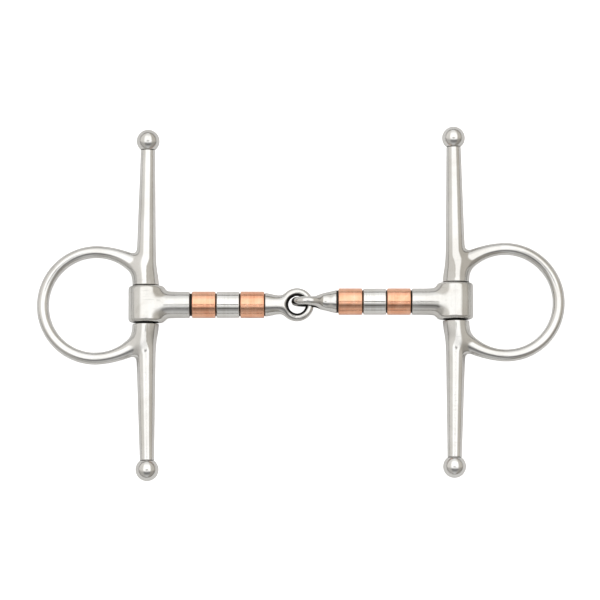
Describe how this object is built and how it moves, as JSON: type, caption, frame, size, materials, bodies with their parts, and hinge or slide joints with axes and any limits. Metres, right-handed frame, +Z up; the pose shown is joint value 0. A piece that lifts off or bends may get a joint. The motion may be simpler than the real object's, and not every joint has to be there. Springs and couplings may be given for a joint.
{
  "type": "snaffle bit",
  "caption": "Full-cheek snaffle bit: two straight cheek arms with ball ends and a ring each, swivelling on a single-jointed mouthpiece with copper and steel rollers.",
  "frame": {"origin": "middle of the joined mouthpiece, on the surface that the bit lies on", "axes": "+X along the mouthpiece to the right cheek, +Y along the upper cheek arms, +Z up from the surface"},
  "size_m": [0.249, 0.1676, 0.0158],
  "materials": {
    "polished_steel": "mirror-polished stainless steel, softly hand-finished",
    "copper": "polished copper with fine turning marks and a light warm bloom"
  },
  "bodies": {
    "left_mouthpiece": {"left_cannon": "polished_steel", "left_spindle": "polished_steel", "left_eye_link": "polished_steel"},
    "left_cheekpiece": {"left_cheek": "polished_steel", "left_pivot_pin": "polished_steel", "left_upper_knob": "polished_steel", "left_lower_knob": "polished_steel"},
    "left_outer_roller": {"left_outer_copper_roller": "copper"},
    "left_middle_roller": {"left_middle_steel_roller": "polished_steel"},
    "left_inner_roller": {"left_inner_copper_roller": "copper"},
    "right_mouthpiece": {"right_cannon": "polished_steel", "right_spindle": "polished_steel", "right_eye_link": "polished_steel"},
    "right_cheekpiece": {"right_cheek": "polished_steel", "right_pivot_pin": "polished_steel", "right_upper_knob": "polished_steel", "right_lower_knob": "polished_steel"},
    "right_outer_roller": {"right_outer_copper_roller": "copper"},
    "right_middle_roller": {"right_middle_steel_roller": "polished_steel"},
    "right_inner_roller": {"right_inner_copper_roller": "copper"}
  },
  "joints": [
    {"name": "centre_joint_fold", "type": "hinge", "parent": "left_mouthpiece", "child": "right_mouthpiece", "pos_m": [0.00412, 0, 0.0079], "axis": [0, -1, 0], "range_deg": [-120, 120]},
    {"name": "left_cheek_swivel", "type": "hinge", "parent": "left_mouthpiece", "child": "left_cheekpiece", "pos_m": [-0.0726, -0.00075, 0.0079], "axis": [0, -1, 0], "range_deg": [-170, 159]},
    {"name": "left_outer_roller_spin", "type": "hinge", "parent": "left_mouthpiece", "child": "left_outer_roller", "pos_m": [-0.04565, -0.00075, 0.0079], "axis": [1, 0, 0], "continuous": true},
    {"name": "left_middle_roller_spin", "type": "hinge", "parent": "left_mouthpiece", "child": "left_middle_roller", "pos_m": [-0.03425, -0.00075, 0.0079], "axis": [1, 0, 0], "continuous": true},
    {"name": "left_inner_roller_spin", "type": "hinge", "parent": "left_mouthpiece", "child": "left_inner_roller", "pos_m": [-0.0228, -0.00075, 0.0079], "axis": [1, 0, 0], "continuous": true},
    {"name": "right_cheek_swivel", "type": "hinge", "parent": "right_mouthpiece", "child": "right_cheekpiece", "pos_m": [0.0726, 0.00075, 0.0079], "axis": [0, 1, 0], "range_deg": [-170, 159]},
    {"name": "right_outer_roller_spin", "type": "hinge", "parent": "right_mouthpiece", "child": "right_outer_roller", "pos_m": [0.04615, 0.00075, 0.0079], "axis": [1, 0, 0], "continuous": true},
    {"name": "right_middle_roller_spin", "type": "hinge", "parent": "right_mouthpiece", "child": "right_middle_roller", "pos_m": [0.03475, 0.00075, 0.0079], "axis": [1, 0, 0], "continuous": true},
    {"name": "right_inner_roller_spin", "type": "hinge", "parent": "right_mouthpiece", "child": "right_inner_roller", "pos_m": [0.0233, 0.00075, 0.0079], "axis": [1, 0, 0], "continuous": true}
  ]
}
